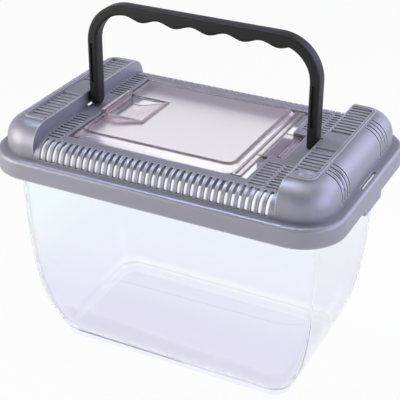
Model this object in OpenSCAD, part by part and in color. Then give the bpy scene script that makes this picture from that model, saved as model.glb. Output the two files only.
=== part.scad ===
// Plastic pet keeper: a clear tank with bowed walls, a ventilated lid that lifts off,
// a smoke tinted feeding hatch hinged in the lid, and a carrying handle that folds flat.
// Millimetres, +Z up. The origin is the middle of the tank's underside, +X is the hinge end
// of the hatch and -Y is the front.

/* [Lid] */
// Length of the lid over its skirt
lid_l = 230; // [222:1:250]
// Width of the lid over its skirt
lid_w = 149; // [145:1:165]
// Plan radius of the skirt's corners
lid_r = 28; // [26:1:32]
// Wall thickness of the lid
lid_wall = 2; // [1.6:0.1:2.4]
// Height of the skirt, from its lower edge to the ledge
skirt_h = 12.3; // [11:0.1:15]
// Width of the ledge between the skirt and the dome
ledge_w = 6.5; // [5:0.1:8]
// Rounding of the skirt's upper edge
skirt_edge_r = 2.5; // [1:0.1:3.5]
// Height of the middle of the lid above the ledge
deck_h = 11.2; // [10:0.1:13]
// Rounding of the front and back edges of the middle
deck_bull = 10; // [6:0.5:10]
// Height of the end humps above the ledge
hump_h = 20.3; // [19.5:0.1:24]
// Rounding of the humps' outer edges
hump_bull = 14; // [10:0.5:16]
// Length of each hump
hump_l = 29; // [26:0.5:32]

/* [Tank] */
// Height of the tank over its rim
tank_h = 139.3; // [110:0.5:170]
// Wall thickness of the tank
tank_wall = 1.8; // [1.4:0.1:2.4]
// How far the tank's ends stand in from the skirt
end_inset = 14; // [13:0.5:20]
// How far the tank's front and back stand in from the skirt
side_inset = 9.5; // [9:0.5:14]
// Plan radius of the tank's corners under the rim
tank_r = 18; // [12:1:24]
// How far the foot stands in from the tank's ends
foot_end_inset = 17.5; // [10:0.5:20]
// How far the foot stands in from the tank's front and back
foot_side_inset = 18.5; // [13:0.5:22]
// Plan radius of the foot's corners
foot_r = 12; // [9:1:16]
// Height of the foot
foot_h = 3; // [2:0.5:5]
// Width of the step between the foot and the walls
foot_step = 0.8; // [0.4:0.1:1.5]
// How far each wall leans in before it curls
wall_lean = 4.2; // [2:0.1:7]
// How sharply the walls curl in at the foot
wall_curl = 4.7; // [4:0.1:8]
// Drop of the lip round the tank's rim
rim_drop = 4.8; // [3:0.1:6]
// Gap between the rim and the skirt
rim_gap = 1; // [0.8:0.1:1.5]

/* [Grilles] */
// Pitch of the slots along the front and back edges
slot_pitch = 4.25; // [3.8:0.05:5]
// Width of those slots
slot_w = 2.1; // [1.6:0.1:2.6]
// How far the slots run in over the top
slot_run = 10.5; // [7:0.5:11]
// Pitch of the grooves in the middle of the lid
deck_pitch = 3.5; // [3.2:0.1:4.4]
// Pitch of the grooves on the humps
hump_pitch = 4.1; // [3.6:0.1:5]
// Width of the grooves
groove_w = 2.1; // [1.6:0.1:2.3]
// Depth of the grooves
groove_d = 0.9; // [0.6:0.1:1.2]

/* [Hatch] */
// Width of the lid's middle between the latch and its hump
latch_deck = 13.3; // [12:0.1:20]
// Width of the lid's middle between the opening and the hinge's hump
hinge_deck = 24.9; // [23:0.1:32]
// Width of the lid's middle in front of the opening and behind it
side_deck = 17.5; // [16.5:0.5:24]
// Height of the hatch's top above the middle of the lid
hatch_rise = 3.6; // [2.5:0.1:5]
// Wall thickness of the hatch
hatch_wall = 1.6; // [1.2:0.1:2]
// Gap round the hatch in its opening
hatch_gap = 0.5; // [0.4:0.1:0.8]
// Length of the finger pocket
pocket_l = 25; // [20:1:30]
// Width of the finger pocket
pocket_w = 32; // [24:1:36]
// Depth of the finger pocket at its latch
pocket_d = 6.5; // [5:0.1:7]
// Height of the latch above the hatch's top
latch_h = 2.4; // [1.5:0.1:3]
// Radius of the hinge barrel
barrel_r = 2.2; // [2:0.1:2.6]
// Length of the hinge barrel
barrel_l = 32; // [26:1:34]
// Width of the tongue that carries the barrel
tongue_w = 36; // [35:1:40]
// Radius of the hinge pins
pin_r = 1.5; // [1.2:0.1:1.6]
// Radial clearance of every pin in its socket
pin_fit = 0.06; // [0.04:0.01:0.1]

/* [Handle] */
// Height of the handle's top above its pivots
handle_rise = 66; // [55:1:72]
// Breadth of the handle's bar, front to back
bar_b = 9; // [7:0.5:9]
// Thickness of the legs
leg_t = 6.4; // [5.5:0.1:7]
// Rounding of the bar's edges
bar_edge = 1.4; // [0.8:0.1:1.8]
// Depth of the finger hollows
finger_d = 2.8; // [1.5:0.1:3]
// Pitch of the finger hollows
finger_pitch = 22.7; // [21:0.1:24]
// Outer radius of the handle's bends
bend_r = 27; // [22:1:32]
// Radius of the pivot stubs
stub_r = 2.5; // [2:0.1:2.8]
// Gap between each leg and the hump beside it
leg_gap = 1.4; // [1:0.1:2]

/* [Hidden] */
$fn = 64;

// Heights of the lid
ledge_z = tank_h + lid_wall;
skirt_z = ledge_z - skirt_h;
deck_z = ledge_z + deck_h;
hump_z = ledge_z + hump_h;

// The dome inside the ledge, and the inner faces of the humps
dome_a = lid_l / 2 - ledge_w;
dome_b = lid_w / 2 - ledge_w;
hump_x = dome_a - hump_l;

// Half sizes of the tank under its rim and at its foot
tank_a = lid_l / 2 - end_inset;
tank_b = lid_w / 2 - side_inset;
foot_a = tank_a - foot_end_inset;
foot_b = tank_b - foot_side_inset;

// Hatch and its opening. The hatch lies on a seat inside the opening.
open_x0 = latch_deck - hump_x;
open_x1 = hump_x - hinge_deck;
open_b = dome_b - side_deck;
slit = 4.5;
hatch_x0 = open_x0 + hatch_gap;
hatch_x1 = open_x1 - slit;
hatch_b = open_b - hatch_gap;
hatch_sink = 1.9;
hatch_under = deck_z - hatch_sink;
hatch_top = deck_z + hatch_rise;
hatch_slope = 5.2;
end_slope = 1.7;
hatch_corner = 6;
flange_l = 4.6;
flange_t = 1.6;
flange_inset = 1;
rib_h = 0.8;
rib_t = 0.9;
rib_inset = 3;
edge_h = 1.1;
edge_in = 0.7;
seat_drop = 0.3;
seat_w = 1.6;
seat_z = hatch_under - seat_drop;
well_wall = 1.6;
pocket_x = hatch_x0 + hatch_slope + hatch_wall + 0.6;

// Hinge of the hatch, in a recess beyond the opening
hinge_x = open_x1 + 5;
hinge_z = deck_z - 3;
tongue_step = 1;
cheek = 3.5;
side_play = 0.5;
recess_b = tongue_w / 2 + side_play;
recess_x1 = hinge_x + barrel_r + 2;
recess_floor = hinge_z - barrel_r - 1;
shelf_x = hatch_x1 - 3.5;
pin_l = 2 * (recess_b + cheek - side_play);

// Pivots of the handle
leg_x = hump_x - leg_gap - leg_t / 2;
foot_gap = 0.5;
pivot_z = deck_z + foot_gap + bar_b / 2;
stub_l = 5;
socket_wall = 1.5;
notch_w = 2.4;
core_hole_y = [-3, 5];
core_hole_rise = 0.7;

// Snap tabs on the two short ends of the skirt, each under a slot in the ledge
tab_w = 27;
tab_drop = 4.5;
tab_slot_w = 2;
bead_r = 0.6;

// Grip and legs of the handle
grip_shift = 6;
wave_steps = 100;
recess_w = 2.6;
recess_d = 1.2;
recess_foot = 12;

// Frames and panels on top of the humps
frame_t = 2.2;
frame_rise = 1;
frame_x = dome_a - hump_bull + 2;
frame_b = dome_b - hump_bull + 0.4;
frame_r = 6;
panel_edge = 1.2;
pad_w = 22;
pad_gap = 3.6;
dimple_r = 4.8;
dimple_d = 1.3;
rib_count = 4;
rib_pitch = 4.1;
rib_first = 27;
rib_groove_w = 1.4;
rib_groove_d = 0.8;

// Points of a rounded rectangle of half sizes a and b at height z
corner_steps = 10;
function ring(a, b, r, z) = [
    for (q = [0:3], i = [0:corner_steps])
        let (sx = (q == 0 || q == 3) ? 1 : -1, sy = q < 2 ? 1 : -1, t = 90 * (q + i / corner_steps))
        [sx * (a - r) + r * cos(t), sy * (b - r) + r * sin(t), z]
];

// Closed solid through rings of equal counts, with flat ends
module loft(rings) {
    n = len(rings[0]);
    m = len(rings);
    polyhedron(
        points = [for (one = rings) each one],
        faces = [
            [for (i = [0:n - 1]) i],
            [for (i = [n - 1:-1:0]) (m - 1) * n + i],
            for (k = [0:m - 2], i = [0:n - 1])
                let (j = (i + 1) % n)
                each [
                    [k * n + i, (k + 1) * n + i, (k + 1) * n + j],
                    [k * n + i, (k + 1) * n + j, k * n + j]
                ]
        ],
        convexity = 6
    );
}

// Half size of a tank wall at t, 0 at the top of the foot and 1 under the rim. The corners'
// radius grows fastest just above the foot.
corner_growth = 0.4;
function drawn_in(top, foot, t) =
    top - wall_lean * (1 - t) - (top - foot - wall_lean) * pow(1 - t, wall_curl);
function wall_ring(t, in) =
    let (z1 = tank_h - lid_wall, r = foot_r + (tank_r - foot_r) * pow(t, corner_growth) - in)
    ring(drawn_in(tank_a, foot_a + foot_step, t) - in, drawn_in(tank_b, foot_b + foot_step, t) - in,
         r, foot_h + (z1 - foot_h) * t);

// Heights at which the curled wall needs a ring, closer together near the foot
wall_steps = [for (i = [0:13]) pow(i / 13, 1.6)];

module tank() {
    rim_in = lid_wall + rim_gap;
    rim_a = lid_l / 2 - rim_in;
    rim_b = lid_w / 2 - rim_in;
    rim_r = lid_r - rim_in;
    lip = tank_wall;
    lip_z = tank_h - rim_drop;
    color([0.93, 0.96, 0.99, 0.35])
        loft([
            ring(foot_a, foot_b, foot_r, 0),
            ring(foot_a, foot_b, foot_r, foot_h),
            for (t = wall_steps) wall_ring(t, 0),
            ring(rim_a - lip, rim_b - lip, rim_r - lip, tank_h - lid_wall),
            ring(rim_a - lip, rim_b - lip, rim_r - lip, lip_z),
            ring(rim_a, rim_b, rim_r, lip_z),
            ring(rim_a, rim_b, rim_r, tank_h),
            ring(tank_a - lip, tank_b - lip, tank_r - lip, tank_h),
            for (i = [len(wall_steps) - 1:-1:0]) wall_ring(wall_steps[i], tank_wall)
        ]);
}

// Carries a section round a rounded rectangle. In the section x = 0 is the outer face.
module carry(l, w, r) {
    for (q = [0:3])
        translate([(q == 0 || q == 3 ? 1 : -1) * (l / 2 - r), (q < 2 ? 1 : -1) * (w / 2 - r), 0])
            rotate([0, 0, 90 * q])
                rotate_extrude(angle = 90)
                    intersection() {
                        translate([r, 0])
                            children();
                        square([2 * r, 2 * hump_z]);
                    }
    for (turn = [0, 180]) {
        rotate([0, 0, turn])
            translate([l / 2, 0, 0])
                rotate([90, 0, 0])
                    linear_extrude(w - 2 * r, center = true)
                        children();
        rotate([0, 0, turn + 90])
            translate([w / 2, 0, 0])
                rotate([90, 0, 0])
                    linear_extrude(l - 2 * r, center = true)
                        children();
    }
}

// Section of a wall of the given depth with its outer upper edge rounded
module bullnose(depth, low, high, bull) {
    translate([-depth, low])
        square([depth, high - bull - low]);
    translate([-depth, low])
        square([depth - bull, high - low]);
    translate([-bull, high - bull])
        intersection() {
            circle(bull);
            square(bull);
        }
}

// Solid block with a bullnose all round, set in from the skirt's outer face
module block(in, low, high, bull) {
    l = lid_l - 2 * in;
    w = lid_w - 2 * in;
    r = lid_r - in;
    carry(l, w, r)
        bullnose(r, low, high, bull);
    translate([r - l / 2, r - w / 2, low])
        cube([l - 2 * r, w - 2 * r, high - low]);
}

module between(x0, x1, low, high) {
    translate([x0, -lid_w, low])
        cube([x1 - x0, 2 * lid_w, high - low]);
}

// The lid's form set in by a wall: skirt, low middle and two high humps
module lid_form(in, low) {
    top = ledge_z - in;
    face = hump_x + in;
    block(in, low, top, max(skirt_edge_r - in, 0.4));
    intersection() {
        block(ledge_w + in, top - 1, deck_z - in, deck_bull - in);
        between(-face, face, top - 1, deck_z);
    }
    for (turn = [0, 180])
        rotate([0, 0, turn])
            intersection() {
                block(ledge_w + in, top - 1, hump_z - in, hump_bull - in);
                between(face, lid_l, top - 1, hump_z);
            }
}

module box(x0, x1, y0, y1, z0, z1) {
    translate([x0, y0, z0])
        cube([x1 - x0, y1 - y0, z1 - z0]);
}

// Opening for the hatch with the seat that it lies on, and the recess for its hinge
module hatch_opening() {
    seat_b = hatch_b - seat_w;
    box(open_x0, open_x1, -open_b, open_b, seat_z, deck_z + 1);
    box(hatch_x0 + seat_w, shelf_x, -seat_b, seat_b, ledge_z - 1, deck_z);
    for (side = [0, 1])
        mirror([0, side, 0])
            box(shelf_x - 1, open_x1, recess_b, seat_b, ledge_z - 1, deck_z);
    box(shelf_x - 1, recess_x1, -recess_b, recess_b, recess_floor, deck_z + 1);
}

// Walls that hang from the middle of the lid round the opening, the hinge's cheeks, and the
// shelf under the hatch's tongue
module hatch_well() {
    b = open_b + well_wall;
    c = recess_b + cheek;
    under = deck_z - lid_wall / 2;
    box(open_x0 - well_wall, open_x1 + well_wall, -b, b, ledge_z, under);
    box(open_x1, recess_x1 + well_wall, -c, c, recess_floor - well_wall, under);
    box(shelf_x, open_x1, -recess_b, recess_b, recess_floor - well_wall, recess_floor);
}

// Slots through the rounded front edge, every slot one pitch from the next
module edge_slots() {
    count = floor((2 * hump_x - 2 * slot_w) / slot_pitch);
    for (i = [0:count - 1])
        translate([(i - (count - 1) / 2) * slot_pitch - slot_w / 2, -dome_b - 1, ledge_z + 0.5])
            cube([slot_w, slot_run + 1, deck_h + 1]);
}

// Blind grooves across a flat top, as many as fit between two distances from the middle
module grooves(x0, x1, from, to, z, pitch) {
    for (y = [to:-pitch:from + groove_w])
        box(x0, x1, y - groove_w, y, z - groove_d, z + 1);
}

module deck_grooves() {
    far = dome_b - slot_run - 2.2;
    inner = hump_x - 1.8;
    near = recess_b + cheek + 0.5;
    split = (open_x1 + 2.4 + inner) / 2;
    for (side = [0, 1])
        mirror([0, side, 0]) {
            grooves(-inner, open_x0 - 2.4, 16, far, deck_z, deck_pitch);
            grooves(open_x1 + 2.4, split - 0.9, near, far, deck_z, deck_pitch);
            grooves(split + 0.9, inner, near, far, deck_z, deck_pitch);
        }
}

// Recessed bars on a hump, with a wider gap beside the plain middle pad
module hump_grooves(dimpled) {
    x0 = hump_x + panel_edge;
    x1 = frame_x - frame_t - 0.6;
    first = pad_w / 2 + pad_gap;
    far = frame_b - frame_t - (dimpled ? 2 * dimple_r + 1.2 : 0.6);
    box(x0, x1, pad_w / 2, first, hump_z - groove_d, hump_z + 1);
    grooves(x0, x1, first + hump_pitch - groove_w, far, hump_z, hump_pitch);
}

// Round recess in one corner of a frame, with a small three-sided pocket beside it
module dimple() {
    x = frame_x - frame_t - dimple_r - 0.2;
    y = frame_b - frame_t - dimple_r - 0.4;
    translate([x, y, hump_z - dimple_d])
        cylinder(h = dimple_d + 0.1, r1 = dimple_r * 0.6, r2 = dimple_r);
    translate([hump_x + panel_edge, y, hump_z - groove_d])
        linear_extrude(groove_d + 1)
            polygon([[0, -dimple_r], [3, -dimple_r], [0, dimple_r / 2]]);
}

// Raised line round the hump's top, open toward the middle of the lid
module hump_frame() {
    translate([0, 0, hump_z - 0.5])
        linear_extrude(frame_rise + 0.5)
            difference() {
                frame_outline(0, hump_x + 0.8);
                frame_outline(frame_t, hump_x);
            }
}

module frame_outline(in, x0) {
    b = frame_b - in;
    rounded(x0, frame_x - in, b, frame_r - in);
    translate([x0, -b])
        square([frame_r, 2 * b]);
}

// Rounded rectangle between two X and at half width b
module rounded(x0, x1, b, r) {
    translate([x0, r - b])
        square([x1 - x0, 2 * (b - r)]);
    translate([x0 + r, -b])
        square([x1 - x0 - 2 * r, 2 * b]);
    for (x = [x0 + r, x1 - r], y = [r - b, b - r])
        translate([x, y])
            circle(r);
}

// Grooves that follow the hump's outer edge down to the ledge
module rib_grooves() {
    for (side = [-1, 1], i = [0:rib_count - 1])
        translate([dome_a, side * (rib_first + i * rib_pitch) + rib_groove_w / 2, 0])
            rotate([90, 0, 0])
                linear_extrude(rib_groove_w)
                    difference() {
                        translate([frame_x + 0.5 - dome_a, ledge_z + 3])
                            square([dome_a - frame_x + 1, hump_h]);
                        translate([-rib_groove_d, 0])
                            bullnose(hump_bull, 0, hump_z - rib_groove_d, hump_bull - rib_groove_d);
                    }
}

// Snap tab that springs over the tank's rim
module snap_tab() {
    box(lid_l / 2 - lid_wall, lid_l / 2, -tab_w / 2, tab_w / 2, skirt_z - tab_drop, skirt_z + 1);
    translate([lid_l / 2 - lid_wall, 0, tank_h - rim_drop - 1.4])
        rotate([90, 0, 0])
            cylinder(h = tab_w - 6, r = bead_r, center = true);
}

// Slot above a tab, which lets it flex
module tab_slot() {
    x = dome_a + tab_slot_w / 2;
    b = tab_w / 2 - 1.5;
    box(x, x + tab_slot_w, -b, b, ledge_z - lid_wall - 1, ledge_z + 1);
}

// Socket for a handle stub, sunk in a boss behind the hump's inner face
module socket_boss() {
    translate([hump_x + 0.5, 0, pivot_z])
        rotate([0, 90, 0])
            cylinder(h = stub_l + 0.5, r = stub_r + socket_wall);
}

// Bore for the stub, with the notch above it and the core hole below it
module socket_bore() {
    translate([hump_x - 1, 0, pivot_z])
        rotate([0, 90, 0])
            cylinder(h = stub_l + 2, r = stub_r + pin_fit);
    box(hump_x - 1, hump_x + panel_edge, -notch_w / 2, notch_w / 2, pivot_z, hump_z + frame_rise + 1);
    box(hump_x - 1, hump_x + lid_wall + 1, core_hole_y[0], core_hole_y[1],
        deck_z - lid_wall - 1, deck_z + core_hole_rise);
}

module hinge_bore() {
    translate([hinge_x, 0, hinge_z])
        rotate([90, 0, 0])
            cylinder(h = 2 * (recess_b + cheek) + 1, r = pin_r + pin_fit, center = true);
}

module lid() {
    color([0.60, 0.60, 0.67])
        difference() {
            union() {
                difference() {
                    lid_form(0, skirt_z);
                    lid_form(lid_wall, skirt_z - 1);
                }
                hatch_well();
                for (turn = [0, 180])
                    rotate([0, 0, turn]) {
                        snap_tab();
                        hump_frame();
                        socket_boss();
                    }
            }
            hatch_opening();
            deck_grooves();
            hinge_bore();
            for (turn = [0, 180])
                rotate([0, 0, turn]) {
                    edge_slots();
                    tab_slot();
                    socket_bore();
                    rib_grooves();
                }
            hump_grooves(false);
            mirror([0, 1, 0]) {
                hump_grooves(true);
                dimple();
            }
            for (side = [0, 1])
                mirror([1, 0, 0])
                    mirror([0, side, 0])
                        hump_grooves(false);
        }
}

// Rounded plate between two X and at half width b
module plate(x0, x1, b, r, z, t) {
    translate([0, 0, z])
        linear_extrude(t)
            rounded(x0, x1, b, r, $fn = 32);
}

// Raised tray of the hatch set in by a wall: sloping sides up to a narrow stepped edge
module tray(in, low) {
    slope = in + hatch_slope;
    inner = slope + edge_in;
    x1 = hatch_x1 - flange_l - in;
    shoulder = hatch_top - edge_h - in;
    thin = 0.1;
    hull() {
        plate(hatch_x0 + in, x1, hatch_b - in, hatch_corner, low, thin);
        plate(hatch_x0 + slope, x1 - end_slope, hatch_b - slope, hatch_corner - 0.5, shoulder - thin, thin);
    }
    plate(hatch_x0 + inner, x1 - end_slope - edge_in, hatch_b - inner, hatch_corner - 1,
          shoulder - thin, edge_h + thin);
}

// Flat flange beside the hinge, with a low rib along the foot of the tray
module flange() {
    x = hatch_x1 - flange_l + 0.3;
    b = hatch_b - flange_inset;
    rib_b = hatch_b - rib_inset;
    box(x, x + rib_t, -rib_b, rib_b, hatch_under, hatch_under + flange_t + rib_h);
    box(hatch_x1 - flange_l - hatch_wall, hatch_x1, -b, b, hatch_under, hatch_under + flange_t);
}

// Finger pocket with a sloping floor, deepest beside the latch, set in by a wall
module pocket_form(in) {
    x0 = pocket_x - hatch_wall + in;
    x1 = pocket_x + pocket_l + hatch_wall - in;
    deep = hatch_top - pocket_d - hatch_wall + in;
    shallow = hatch_top - 2 * hatch_wall + in;
    top = hatch_top + (in > 0 ? 1 : -0.4);
    rotate([90, 0, 0])
        linear_extrude(pocket_w + 2 * (hatch_wall - in), center = true)
            polygon([[x0, deep], [pocket_x + 7, deep], [x1, shallow], [x1, top], [x0, top]]);
}

// Springy latch at the pocket's outer side
module latch() {
    b = pocket_w / 2 + hatch_wall;
    box(hatch_x0 + hatch_slope - 1, pocket_x, -b, b, hatch_top - pocket_d, hatch_top + latch_h);
}

// Tongue that dips from the flange to the hinge barrel
module tongue() {
    top = hatch_under + flange_t - tongue_step;
    rotate([90, 0, 0])
        linear_extrude(tongue_w, center = true)
            polygon([
                [hatch_x1 - flange_l, hatch_under + flange_t],
                [hatch_x1 - tongue_step, hatch_under + flange_t],
                [hatch_x1, top],
                [hinge_x - 1, top - 0.4],
                [hinge_x - 1, hinge_z - 0.6],
                [hatch_x1, top - flange_t],
                [hatch_x1 - flange_l, hatch_under]
            ]);
}

module hatch() {
    color([0.72, 0.66, 0.68, 0.5]) {
        difference() {
            union() {
                difference() {
                    tray(0, hatch_under);
                    tray(hatch_wall, hatch_under - 0.5);
                }
                flange();
                pocket_form(0);
                latch();
            }
            pocket_form(hatch_wall);
        }
        tongue();
        translate([hinge_x, 0, hinge_z])
            rotate([90, 0, 0]) {
                cylinder(h = barrel_l, r = barrel_r, center = true);
                cylinder(h = pin_l, r = pin_r, center = true);
            }
    }
}

// Section of the handle's bar, with rounded edges. x = 0 is its outer face.
module bar_section() {
    translate([-leg_t, bar_edge - bar_b / 2])
        square([leg_t, bar_b - 2 * bar_edge]);
    translate([bar_edge - leg_t, -bar_b / 2])
        square([leg_t - 2 * bar_edge, bar_b]);
    for (x = [bar_edge - leg_t, -bar_edge], y = [bar_edge - bar_b / 2, bar_b / 2 - bar_edge])
        translate([x, y])
            circle(bar_edge);
}

// The bar from one pivot up, round a bend and along half of the grip
module half_bar() {
    outer = leg_x + leg_t / 2;
    top = pivot_z + handle_rise;
    translate([outer, 0, pivot_z])
        linear_extrude(handle_rise - bend_r)
            bar_section();
    translate([outer - bend_r, 0, top - bend_r])
        rotate([90, 0, 0])
            rotate_extrude(angle = 90)
                translate([bend_r, 0])
                    bar_section();
    translate([0, 0, top])
        rotate([0, -90, 180])
            linear_extrude(outer - bend_r)
                bar_section();
}

// Wave of finger bumps under the grip
module finger_wave() {
    half = 2.5 * finger_pitch;
    under = pivot_z + handle_rise - leg_t;
    function depth(x) = finger_d * (1 + cos(360 * x / finger_pitch)) / 2;
    translate([grip_shift, 0, under])
        rotate([90, 0, 0])
            linear_extrude(bar_b - bar_edge, center = true)
                polygon([
                    for (i = [0:wave_steps])
                        let (x = half * (2 * i / wave_steps - 1))
                        [x, -depth(x)],
                    [half, bar_edge],
                    [-half, bar_edge]
                ]);
}

// Long recess in the front face of a leg
module leg_recess() {
    x = leg_x - recess_w / 2;
    translate([x, -bar_b, pivot_z + recess_foot])
        cube([recess_w, bar_b / 2 + recess_d, handle_rise - bend_r - recess_foot]);
}

// Foot of a leg with its collar and the stub that turns in the lid
module pivot_foot() {
    translate([leg_x - leg_t / 2, 0, pivot_z])
        rotate([0, 90, 0]) {
            cylinder(h = leg_t, r = bar_b / 2);
            cylinder(h = leg_t + leg_gap - side_play, r = bar_b / 2 - 0.5);
            cylinder(h = leg_t + leg_gap + stub_l - side_play, r = stub_r);
        }
}

module handle() {
    color([0.16, 0.15, 0.15])
        difference() {
            union() {
                finger_wave();
                for (side = [0, 1])
                    mirror([side, 0, 0]) {
                        half_bar();
                        pivot_foot();
                    }
            }
            for (across = [0, 1], along = [0, 1])
                mirror([across, 0, 0])
                    mirror([0, along, 0])
                        leg_recess();
        }
}

tank();
lid();
hatch();
handle();
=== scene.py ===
import math

import bmesh
import bpy
import numpy as np
from mathutils import Matrix, Vector


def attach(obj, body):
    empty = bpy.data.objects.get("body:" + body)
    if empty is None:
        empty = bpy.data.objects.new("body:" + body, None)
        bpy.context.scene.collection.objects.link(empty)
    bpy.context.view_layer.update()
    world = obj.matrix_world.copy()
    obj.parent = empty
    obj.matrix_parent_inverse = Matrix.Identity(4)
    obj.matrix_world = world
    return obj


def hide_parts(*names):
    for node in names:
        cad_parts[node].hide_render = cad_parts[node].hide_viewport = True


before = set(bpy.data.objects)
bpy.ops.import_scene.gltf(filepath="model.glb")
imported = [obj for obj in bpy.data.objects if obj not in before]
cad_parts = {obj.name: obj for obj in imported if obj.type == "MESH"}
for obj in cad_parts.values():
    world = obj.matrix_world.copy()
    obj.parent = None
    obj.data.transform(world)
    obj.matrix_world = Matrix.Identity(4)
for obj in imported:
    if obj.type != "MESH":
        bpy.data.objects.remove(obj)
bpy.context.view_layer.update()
scene = bpy.context.scene

# Camera, standing to the right of the front and looking down on the keeper.
# A long lens keeps the lid's long edges nearly parallel.
photo_width = 400
focal_pixels = 1109.7
camera_azimuth = math.radians(26.59)
camera_elevation = math.radians(28.87)
camera_roll = math.radians(0.35)
camera_distance = 0.7167
camera_aim = Vector((-0.0002, -0.0001, 0.1))

flat_right = Vector((math.cos(camera_azimuth), math.sin(camera_azimuth), 0))
back = Vector((
    math.sin(camera_azimuth) * math.cos(camera_elevation),
    -math.cos(camera_azimuth) * math.cos(camera_elevation),
    math.sin(camera_elevation),
))
flat_up = back.cross(flat_right)
right = flat_right * math.cos(camera_roll) + flat_up * math.sin(camera_roll)
up = flat_up * math.cos(camera_roll) - flat_right * math.sin(camera_roll)
camera = bpy.data.cameras.new("camera")
camera.sensor_width = 36
camera.lens = focal_pixels / photo_width * camera.sensor_width
camera_object = bpy.data.objects.new("camera", camera)
scene.collection.objects.link(camera_object)
camera_object.matrix_world = (
    Matrix.Translation(camera_aim + back * camera_distance)
    @ Matrix((right, up, back)).transposed().to_4x4()
)
scene.camera = camera_object


# Tank: one clear styrene moulding, 1.8 mm thick. Its walls stand nearly straight and curl in
# to a small flat foot, and a rim turned out and down at the top carries the lid.
class Value:
    """One output of a shader node. The operators on it add Math nodes."""

    def __init__(self, finish, socket):
        self.finish = finish
        self.socket = socket

    def math(self, operation, first, second):
        """A Math node with two inputs."""
        return self.finish.add("Math", {"operation": operation}, numbered={0: first, 1: second})

    def __add__(self, other):
        return self.math("ADD", self, other)

    def __sub__(self, other):
        return self.math("SUBTRACT", self, other)

    def __rsub__(self, other):
        return self.math("SUBTRACT", other, self)

    def __mul__(self, other):
        return self.math("MULTIPLY", self, other)

    __radd__ = __add__
    __rmul__ = __mul__

    def at_least(self, low):
        """The larger of this value and another."""
        return self.math("MAXIMUM", self, low)

    def at_most(self, high):
        """The smaller of this value and another."""
        return self.math("MINIMUM", self, high)

    def fading(self, full, none):
        """1 up to the number full, and from there in a straight line down to 0 at none."""
        return ((none - self) * (1 / (none - full))).at_least(0.0).at_most(1.0)


class Finish:
    """The node tree of one material, or of the world."""

    def __init__(self, owner):
        self.owner = owner
        owner.use_nodes = True
        self.tree = owner.node_tree
        self.tree.nodes.clear()

    def add(self, kind, settings=None, output=0, numbered=None, **named):
        """Adds a node: first its settings, with a ramp's stops among them, then its sockets.

        Sockets go by number where two share a name, and by name elsewhere, with _ for a space.
        A Value is linked to its socket, and a number or a colour is the socket's own.
        """
        node = self.tree.nodes.new("ShaderNode" + kind)
        for key, setting in (settings or {}).items():
            if key == "stops":
                elements = node.color_ramp.elements
                while len(elements) < len(setting):
                    elements.new(0.5)
                for element, (at, colour) in zip(elements, setting):
                    element.position = at
                    element.color = (*colour, 1)
            else:
                setattr(node, key, setting)
        sockets = {key.replace("_", " "): value for key, value in named.items()}
        sockets.update(numbered or {})
        for key, value in sockets.items():
            if isinstance(value, Value):
                self.tree.links.new(value.socket, node.inputs[key])
            else:
                node.inputs[key].default_value = value
        return Value(self, node.outputs[output]) if node.outputs else None

    def place(self):
        """Object coordinates, in metres in the keeper's own frame."""
        return self.add("TexCoord", output="Object")

    def ramp(self, factor, stops):
        """Colour ramp over a factor, given as (place, colour) stops."""
        return self.add("ValToRGB", {"stops": stops}, numbered={0: factor})

    def blend(self, factor, first, second):
        """Colour between two colours."""
        sockets = {0: factor, 6: first, 7: second}
        return self.add("Mix", {"data_type": "RGBA"}, output=2, numbered=sockets)

    def either(self, factor, first, second):
        """Mix Shader between two shaders."""
        return self.add("MixShader", numbered={0: factor, 1: first, 2: second})

    def turned(self, soft):
        """How far a softened normal turns off the face: 1 less their dot product."""
        face = self.add("NewGeometry", output="True Normal")
        dot = {"operation": "DOT_PRODUCT"}
        return 1 - self.add("VectorMath", dot, output="Value", numbered={0: soft, 1: face})

    def surface(self, shader, kind="OutputMaterial", **inside):
        """Sends a shader, and a Volume for the inside of tinted plastic, to the output."""
        self.add(kind, Surface=shader, **inside)
        return self.owner


def show(name, mesh, body, node, material):
    """Puts a mesh on show in place of a CAD node, riding on its body."""
    piece = bpy.data.objects.new(name, mesh)
    scene.collection.objects.link(piece)
    mesh.materials.clear()
    mesh.materials.append(material)
    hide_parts(node)
    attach(piece, body)
    return piece


def rings(half_x, half_y, corner, height, steps):
    """Rounded rectangles, one for each entry of the half sizes, corner radii and heights.

    A corner's point at t, over one quarter turn, is x = +-(half_x - corner) + corner cos t,
    y = +-(half_y - corner) + corner sin t.
    """
    t = np.linspace(0, math.pi / 2, steps + 1)
    quarter = np.arange(4)[:, None]
    angle = (quarter * math.pi / 2 + t).ravel()
    side_x = np.repeat([1, -1, -1, 1], steps + 1)
    side_y = np.repeat([1, 1, -1, -1], steps + 1)
    half_x, half_y, corner, height = (v[:, None] for v in (half_x, half_y, corner, height))
    x = side_x * (half_x - corner) + corner * np.cos(angle)
    y = side_y * (half_y - corner) + corner * np.sin(angle)
    return np.stack([x, y, height + 0 * x], axis=2)


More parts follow.
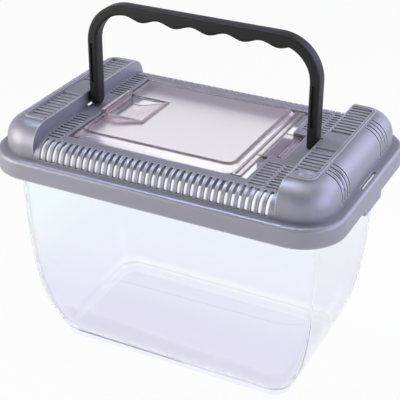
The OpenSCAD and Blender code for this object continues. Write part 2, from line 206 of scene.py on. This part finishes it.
def lofted(name, grid, caps=True, weld=0.000001):
    """Closed mesh through a grid of rings, or through several such grids.

    Points j and j + 1 of ring i and the same two of ring i + 1 make one face. Caps close the
    first and the last ring, and points closer than the weld become one.
    """
    grids = grid if grid.ndim == 4 else grid[None]
    rows, count = grids.shape[1:3]
    row = np.arange(rows - 1)[:, None] * count
    here = np.arange(count)
    after = (here + 1) % count
    quads = np.stack(
        [row + here, row + after, row + count + after, row + count + here], axis=2
    ).reshape(-1, 4)
    start = np.arange(len(grids))[:, None, None] * rows * count
    faces = (start + quads).reshape(-1, 4).tolist()
    if caps:
        faces.append(list(range(count))[::-1])
        faces.append(list(range((rows - 1) * count, rows * count)))
    mesh = bpy.data.meshes.new(name)
    mesh.from_pydata(grids.reshape(-1, 3).tolist(), [], faces)
    work = bmesh.new()
    work.from_mesh(mesh)
    bmesh.ops.remove_doubles(work, verts=work.verts, dist=weld)
    bmesh.ops.recalc_face_normals(work, faces=work.faces)
    work.to_mesh(mesh)
    work.free()
    return mesh


def smooth_to(piece, angle):
    """Smooth shading, with a hard edge where faces meet at more than an angle."""
    piece.data.shade_smooth()
    piece.data.set_sharp_from_angle(angle=math.radians(angle))


def tank_mesh():
    """Surface of the tank: up the outer walls, over the rim, down inside and across the floor.

    A wall's half size at t, from 0 at the foot to 1 under the rim, is
    top - lean (1 - t) - (top - foot - lean) (1 - t)^curl, and its corner radius is
    foot + (top - foot) t^growth. The inner wall is the outer one moved in by its thickness.
    The fillet is (1 - u)^2 wall + 2 u (1 - u) root + u^2 floor. Underneath, a standing ring goes
    round a panel that is raised by one edge, and a gate mark stands in the floor's middle.
    """
    foot = np.array([0.082, 0.0455, 0.012])
    top = np.array([0.101, 0.065, 0.018])
    rim = np.array([0.112, 0.0715, 0.025])
    step = 0.0016
    foot_high = 0.006
    tank_high = 0.1393
    sole = 0.003
    wall = 0.0018
    lid_wall = 0.002
    lip = 0.0048
    lean = 0.0042
    curl = 4.7
    growth = 0.4
    edge = 0.0006
    nick = edge * 0.3
    pad = 0.005
    fillet = 0.007
    gate_radius = np.array([0.0056, 0.0048, 0.00448, 0.00224, 0.0016, 0.0008])
    gate_high = np.array([0, 0, 0.0003, 0.0003, 0.00096, 0.00114])
    wall_steps = 49
    bunching = 1.5
    fillet_steps = 9
    corner_steps = 20
    under_rim = tank_high - lid_wall
    climb = under_rim - foot_high
    mouth = top - wall

    def wall_rings(t, inset):
        """Half sizes, corner radii and heights of a wall's rings at the values of t."""
        high, low = top[:2, None], foot[:2, None] + step
        half = high - lean * (1 - t) - (high - low - lean) * (1 - t) ** curl - inset
        corner = foot[2] + (top[2] - foot[2]) * t ** growth - inset
        return np.vstack([half, corner, foot_high + climb * t])

    def moved_in(size, *insets_heights):
        """Rings of one size, each moved in by an inset and set at a height."""
        return np.array([(*(size - inset), height) for inset, height in insets_heights]).T

    underneath = moved_in(foot, (pad, edge), (pad - edge, 0), (edge, 0), (nick, nick), (0, edge))
    foot_top = moved_in(foot, (0, foot_high))
    outer = wall_rings(np.linspace(0, 1, wall_steps) ** bunching, 0)
    lip_inside = moved_in(rim, (wall, under_rim), (wall, tank_high - lip))
    lip_outside = moved_in(rim, (0, tank_high - lip), (0, tank_high - edge))
    rim_edge = moved_in(rim, (nick, tank_high - nick), (edge, tank_high))
    mouth_edge = moved_in(mouth, (-edge, tank_high), (0, tank_high - edge))
    inner = wall_rings(1 - np.linspace(0, 1 - fillet / climb, wall_steps), wall)

    inward = np.array([[1], [1], [1], [0]])
    root = wall_rings(np.zeros(1), wall)
    root[3] = sole
    floor_edge = root - fillet * inward
    u = np.linspace(0, 1, fillet_steps)[1:]
    hollow = inner[:, -1:] * (1 - u) ** 2 + root * 2 * u * (1 - u) + floor_edge * u ** 2
    flat = floor_edge - edge * inward
    gate = np.array([gate_radius, gate_radius, gate_radius, sole + gate_high])
    profile = np.hstack([
        underneath, foot_top, outer, lip_inside, lip_outside, rim_edge, mouth_edge,
        inner, hollow, flat, gate,
    ])
    return lofted("tank_shell", rings(*profile, corner_steps))


def clear_plastic():
    """Clear styrene: glossy, faintly rippled, cool, with painted lilac shade lower down.

    Painted shade lines the foot's edges, and a painted highlight bands its far side where the
    fillet would gather light. Lamps shine straight through, and so does the floor under the foot.
    A tenth of all else is seen straight through too, because so thin a wall hardly bends the
    light.
    """
    look = Finish(bpy.data.materials.new("clear_plastic"))
    place = look.place()
    ripple = look.add("TexNoise", Vector=place, Scale=38.0, Detail=1.0)
    dent = look.add("Bump", Strength=0.05, Distance=0.0004, Height=ripple)
    height = look.add("SeparateXYZ", output="Z", Vector=place)
    depth = look.add("SeparateXYZ", output="Y", Vector=place)

    full_height = 0.14
    share = height * (1 / full_height)
    # Painted shade: the cool tint turns darker and lilac towards the bottom.
    tint_and_low_shade = look.ramp(share, [
        (0.0, (0.890, 0.874, 0.964)),
        (0.35, (0.910, 0.906, 0.980)),
        (0.62, (0.955, 1.0, 1.0)),
        (1.0, (0.950, 1.0, 1.0)),
    ])

    # Painted highlight: a pale band low down on the far side, where the fillet would gather
    # light.
    unlit = (0, 0, 0)
    bright = (0.8, 0.8, 0.8)
    band_depth = 0.025
    painted_highlight = look.ramp(share, [(0.025, unlit), (0.04, bright), (0.048, bright), (0.08, unlit)])
    far_side = (depth * (1 / band_depth)).at_least(0.0)
    with_painted_highlight = look.blend((painted_highlight * far_side).at_most(1.0), tint_and_low_shade, (1.0, 0.975, 1, 1))

    # Painted shade: lines a little darker than the tint along the foot's edges.
    edge_shade_colour = (0.86, 0.84, 0.92, 1)
    edge_shade_gain = 4.0
    edges_full = 0.008
    edges_gone = 0.012
    turned = look.turned(look.add("Bevel", {"samples": 6}, Radius=0.0012))
    edge = (turned * edge_shade_gain * height.fading(edges_full, edges_gone)).at_most(1.0)
    glass = look.add(
        "BsdfPrincipled",
        Base_Color=look.blend(edge, with_painted_highlight, edge_shade_colour),
        Roughness=0.03,
        IOR=1.16,
        Transmission_Weight=1.0,
        Coat_Weight=0.4,
        Coat_Roughness=0.08,
        Coat_IOR=1.5,
        Normal=dent,
    )

    sole_full = 0.00015
    sole_gone = 0.0003
    thin_share = 0.1
    open_way = look.add("BsdfTransparent", Color=(0.965, 0.970, 0.995, 1))
    lamp_ray = look.add("LightPath", output="Is Shadow Ray")
    straight = lamp_ray.at_least(height.fading(sole_full, sole_gone)).at_least(thin_share)
    return look.surface(look.either(straight, glass, open_way))


tank = show("tank_shell", tank_mesh(), "tank", "tank", clear_plastic())
smooth_to(tank, 30)


# Lid: one satin silver grey moulding. The slots through its rounded front and back edges, the
# bars on its top and the ribs on its humps are the ventilation, and its skirt snaps over the rim.
def welded(name, node, sharp=30, weld=0.000002):
    """Copy of a CAD node with its triangles joined and smooth up to a sharp angle."""
    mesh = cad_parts[node].data.copy()
    mesh.name = name
    work = bmesh.new()
    work.from_mesh(mesh)
    bmesh.ops.remove_doubles(work, verts=work.verts, dist=weld)
    for edge in work.edges:
        edge.smooth = edge.calc_face_angle(0) < math.radians(sharp)
    for face in work.faces:
        face.smooth = True
    work.to_mesh(mesh)
    work.free()
    return mesh


def weighted(piece):
    """Normals weighted by the size of the faces, so that flats stay flat."""
    normals = piece.modifiers.new("normals", "WEIGHTED_NORMAL")
    normals.keep_sharp = True


def grey_plastic():
    """Silver grey polypropylene: satin, with a metallic fleck, painted shade and painted
    highlights.

    Painted shade darkens a crease, which is where little of the air within 4 mm is open. A
    painted highlight pales a rib, which is where the plastic behind the surface is less than
    about 0.9 mm thick.
    """
    dark_cloud = (0.308, 0.304, 0.350, 1)
    pale_cloud = (0.340, 0.336, 0.387, 1)
    fleck_colour = (0.465, 0.465, 0.505, 1)
    fleck_share = 0.35
    # Painted highlight: this colour lights the thin ribs.
    rib_highlight_colour = (0.74, 0.74, 0.79, 1)
    rib_highlight_gain = 1.3
    # Painted shade: this colour darkens the creases.
    crease_shade_colour = (0.235, 0.233, 0.262, 1)

    look = Finish(bpy.data.materials.new("grey_plastic"))
    place = look.place()
    outside = {"samples": 8}
    inside = {"samples": 8, "inside": True}
    fleck = look.add("TexNoise", Vector=place, Scale=2600.0, Detail=2.0)
    cloud = look.add("TexNoise", Vector=place, Scale=26.0, Detail=3.0)
    air = look.add("AmbientOcclusion", outside, output="AO", Distance=0.004)
    bulk = look.add("AmbientOcclusion", inside, output="AO", Distance=0.0009)
    clouded = look.blend(cloud, dark_cloud, pale_cloud)
    flecked = look.blend(fleck * fleck_share, clouded, fleck_colour)
    with_rib_highlight = look.blend(((1 - bulk) * rib_highlight_gain).at_most(1.0), flecked, rib_highlight_colour)
    soft = look.add("Bevel", {"samples": 6}, Radius=0.0006)
    skin = look.add("Bump", Strength=0.12, Distance=0.0001, Height=fleck, Normal=soft)
    shader = look.add(
        "BsdfPrincipled",
        Base_Color=look.blend(air, crease_shade_colour, with_rib_highlight),
        Metallic=0.6,
        Roughness=0.40 + cloud * 0.1,
        Normal=skin,
    )
    return look.surface(shader)


lid = show("lid_shell", welded("lid_shell", "lid"), "lid", "lid", grey_plastic())
weighted(lid)


# Hatch: one smoke tinted clear moulding. Its raised top has a finger pocket beside the latch, and
# its tongue ends in the barrel and pins that turn in the lid.
def smoke_plastic():
    """Clear plastic, faintly frosted, with a reddish smoke tint and painted shade along its
    edges.
    """
    clear_colour = (1.0, 0.93, 1.0, 1)
    # Painted shade: dark brown lines along the hatch's edges.
    edge_shade_colour = (0.16, 0.115, 0.11, 1)
    edge_shade_gain = 6.0

    look = Finish(bpy.data.materials.new("smoke_plastic"))
    ripple = look.add("TexNoise", Vector=look.place(), Scale=45.0, Detail=1.0)
    soft = look.add("Bevel", {"samples": 8}, Radius=0.0018)
    dent = look.add("Bump", Strength=0.04, Distance=0.0004, Height=ripple, Normal=soft)
    edge = (look.turned(soft) * edge_shade_gain).at_most(1.0)
    glass = look.add(
        "BsdfPrincipled",
        Base_Color=look.blend(edge, clear_colour, edge_shade_colour),
        Roughness=0.17,
        IOR=1.45,
        Transmission_Weight=1.0,
        Normal=dent,
    )
    open_way = look.add("BsdfTransparent", Color=(0.9, 0.87, 0.88, 1))
    lamp_ray = look.add("LightPath", output="Is Shadow Ray")
    smoke = look.add("VolumeAbsorption", Color=(0.86, 0.68, 0.70, 1), Density=36.0)
    return look.surface(look.either(lamp_ray, glass, open_way), Volume=smoke)


hatch_mesh = welded("hatch_shell", "hatch")
hatch = show("hatch_shell", hatch_mesh, "hatch", "hatch", smoke_plastic())
weighted(hatch)


# Handle: one black moulding of satin polypropylene, with finger hollows under the grip and a long
# recess in each face of its legs. Its two stubs snap into the lid's sockets.
handle_pivot = 0.1575


def handle_mesh():
    """The handle's bar: one section of points carried from foot to foot along its outer face.

    The outer face follows the foot, the leg, a quarter circle and the grip. A section's point
    lies inward from that face, up to one thickness, and across from the bar's middle plane.
    Under the grip the inner half drops to a wave that hangs
    depth (1 + cos(2 pi (x - shift) / pitch)) / 2 below it.
    Round the pivot the section turns by phi: y = Y cos phi, z = pivot - |Y| sin phi.
    """
    outer = 0.0781
    rise = 0.066
    bend = 0.027
    half = 0.0045
    thick = 0.0064
    edge = 0.0014
    depth = 0.0028
    pitch = 0.0227
    shift = 0.006
    ridges = 5
    groove_wide = 0.0026
    groove_deep = 0.0012
    groove_foot = 0.012
    groove_stop = 0.001
    groove_slope = 0.0004
    edge_steps = 6
    foot_steps = 9
    bend_steps = 25
    grip_steps = 91

    turn = np.linspace(0, math.pi / 2, edge_steps)
    corner = edge * (1 - np.cos(turn))
    side = half - edge + edge * np.sin(turn)
    mid = thick / 2
    groove_side = np.array([-0.6, -0.5, -0.38, 0.38, 0.5, 0.6]) * groove_wide
    inward = np.concatenate([corner, mid + groove_side, (thick - corner)[::-1]])
    across = np.concatenate([side, np.full_like(groove_side, half), side[::-1]])
    sunk = np.concatenate([np.zeros(edge_steps), [0, 0, 1, 1, 0, 0], np.zeros(edge_steps)])
    inward = np.concatenate([inward, inward[::-1]])
    across = np.concatenate([across, -across[::-1]])
    sunk = np.concatenate([sunk, sunk[::-1]])

    leg = rise - bend
    groove_end = leg - groove_stop
    marks = np.array([
        0, groove_foot - groove_slope, groove_foot, groove_end - groove_slope, groove_end, leg,
    ])
    low = np.linspace(math.pi / 2, 0, foot_steps)[:-1]
    arc = np.linspace(0, math.pi / 2, bend_steps)[1:]
    grip = np.linspace(outer - bend, 0, grip_steps)[1:]
    zero = np.zeros_like
    phi = np.concatenate([low, zero(marks), zero(arc), zero(grip)])
    face_x = np.concatenate([
        zero(low) + outer, zero(marks) + outer, outer - bend + bend * np.cos(arc), grip,
    ])
    face_z = handle_pivot + np.concatenate([
        zero(low), marks, leg + bend * np.sin(arc), zero(grip) + rise,
    ])
    tilt = np.concatenate([zero(low), zero(marks), arc, zero(grip) + math.pi / 2])
    groove = np.concatenate([zero(low), [0, 0, 1, 1, 0, 0], zero(arc), zero(grip)])

    def mirrored(values, sign=1):
        """One half of the bar's values, followed by those of the other half, as a column."""
        return np.concatenate([values, sign * values[-2::-1]])[:, None]

    phi, face_z, groove = mirrored(phi), mirrored(face_z), mirrored(groove)
    out_x = mirrored(np.cos(tilt), -1)
    out_z = mirrored(np.sin(tilt))
    face_x = mirrored(face_x, -1)
    under_x = face_x - out_x * thick
    under_z = face_z - out_z * thick
    wave = depth * (1 + np.cos(2 * math.pi * (under_x - shift) / pitch)) / 2
    low_point = handle_pivot + rise - thick - wave
    waved = (np.abs(under_x - shift) < ridges * pitch / 2) & (out_z > 0.5)
    drop = np.where(waved, np.maximum(under_z - low_point, 0), 0)
    y = across - np.sign(across) * groove * sunk * groove_deep
    x = face_x - out_x * inward
    z = face_z - out_z * inward - np.abs(y) * np.sin(phi)
    z = z - drop * np.maximum(inward - mid, 0) / mid
    return lofted("handle_bar", np.stack([x, y * np.cos(phi), z], axis=2), caps=False)


def stub_mesh():
    """Collar and stub at each foot: a profile of (x, radius) turned round the pivots' axis."""
    root = 0.0752
    collar = 0.0040
    collar_end = 0.0790
    collar_edge = 0.0003
    stub = 0.0025
    tip = 0.0840
    tip_edge = 0.0004
    round_steps = 32
    profile = np.array([
        (root, 0), (root, collar),
        (collar_end - collar_edge, collar), (collar_end, collar - collar_edge),
        (collar_end, stub),
        (tip - tip_edge, stub), (tip, stub - tip_edge), (tip, 0),
    ])
    angle = np.linspace(0, 2 * math.pi, round_steps + 1)[:-1]
    x = np.repeat(profile[:, :1], len(angle), axis=1)
    radius = profile[:, 1:]
    grid = np.stack([x, radius * np.cos(angle), handle_pivot + radius * np.sin(angle)], axis=2)
    return lofted("handle_stubs", np.stack([grid, grid * [-1, 1, 1]]), caps=False)


def black_plastic():
    """Black polypropylene with a fine spark-eroded grain and a slightly cloudy gloss."""
    dark_cloud = (0.011, 0.0105, 0.0095, 1)
    pale_cloud = (0.017, 0.016, 0.0145, 1)
    look = Finish(bpy.data.materials.new("black_plastic"))
    place = look.place()
    grain = look.add("TexNoise", Vector=place, Scale=1500.0, Detail=3.0)
    cloud = look.add("TexNoise", Vector=place, Scale=30.0, Detail=2.0)
    skin = look.add("Bump", Strength=0.25, Distance=0.0001, Height=grain)
    shader = look.add(
        "BsdfPrincipled",
        Base_Color=look.blend(cloud, dark_cloud, pale_cloud),
        Roughness=0.38 + cloud * 0.14,
        Specular_IOR_Level=0.28,
        Normal=skin,
    )
    return look.surface(shader)


black = black_plastic()
handle = show("handle_bar", handle_mesh(), "handle", "handle", black)
smooth_to(handle, 35)
stubs = show("handle_stubs", stub_mesh(), "handle", "handle", black)
smooth_to(stubs, 35)


# Floor, lamps and world: a pale floor, large soft lamps to the left, to the right, behind and
# above, and a narrow bluish beam from the upper left on the lid's right hump.
def sight_rays(look):
    """1 on rays from the camera, off gloss or through glass, and 0 on the others."""
    return (
        look.add("LightPath", output="Is Camera Ray")
        + look.add("LightPath", output="Is Glossy Ray")
        + look.add("LightPath", output="Is Transmission Ray")
    ).at_most(1.0)


def white_floor():
    """White to the camera and in reflections, and matt to the lamps, so a soft shadow stays."""
    white_share = 0.94
    look = Finish(bpy.data.materials.new("floor"))
    matt = look.add("BsdfDiffuse", Color=(0.86, 0.86, 0.87, 1))
    glow = look.add("Emission", Color=(1, 1, 1, 1), Strength=1.0)
    return look.surface(look.either(sight_rays(look) * white_share, matt, glow))


floor_half = 4.0
floor_drop = 0.0001
floor_corners = floor_half * np.array([(-1, -1, 0), (1, -1, 0), (1, 1, 0), (-1, 1, 0)])
floor_mesh = bpy.data.meshes.new("floor")
floor_mesh.from_pydata((floor_corners - [0, 0, floor_drop]).tolist(), [], [(0, 1, 2, 3)])
floor_mesh.materials.append(white_floor())
floor = bpy.data.objects.new("floor", floor_mesh)
scene.collection.objects.link(floor)


def lamp(name, place, size, watts, colour, aim=(0, 0, 0.1), spread=180):
    """Square area lamp that faces the keeper's middle, or sends a narrower beam elsewhere."""
    light = bpy.data.lights.new(name, "AREA")
    light.shape = "SQUARE"
    light.size = size
    light.energy = watts
    light.color = colour
    light.spread = math.radians(spread)
    thing = bpy.data.objects.new(name, light)
    scene.collection.objects.link(thing)
    thing.location = place
    thing.rotation_mode = "QUATERNION"
    thing.rotation_quaternion = (Vector(place) - Vector(aim)).to_track_quat("Z", "Y")


hump = (0.13, -0.05, 0.15)
lamp("key_lamp", (-0.48, 0.18, 1.20), 0.36, 0.19, (0.58, 0.69, 1.0), aim=hump, spread=24)
lamp("left_lamp", (-0.57, -0.40, 0.27), 0.5, 2.8, (1.0, 0.96, 0.90))
lamp("right_lamp", (1.17, 0.0, 0.53), 1.0, 6.6, (0.62, 0.62, 1.0))
lamp("back_lamp", (0.40, 0.40, 0.45), 0.5, 1.6, (0.74, 0.78, 1.0))
lamp("top_lamp", (0.0, -0.04, 1.35), 0.9, 3.6, (1.0, 0.98, 0.90))


def studio_world():
    """Pale lilac at the horizon and grey above, white to the camera, and dimmer as light."""
    light_level = 0.56
    seen_more = 0.67
    world = bpy.data.worlds.new("studio")
    scene.world = world
    look = Finish(world)
    way = look.add("TexCoord", output="Generated")
    rise = look.add("SeparateXYZ", output="Z", Vector=way)
    ceiling = look.ramp(rise, [(0.12, (0.85, 0.83, 0.97)), (0.5, (0.26, 0.25, 0.255))])
    camera_ray = look.add("LightPath", output="Is Camera Ray")
    colour = look.blend(camera_ray, ceiling, (1, 1, 1, 1))
    level = sight_rays(look) * seen_more + light_level
    look.surface(look.add("Background", Color=colour, Strength=level), kind="OutputWorld")


studio_world()

scene.view_settings.view_transform = "Standard"
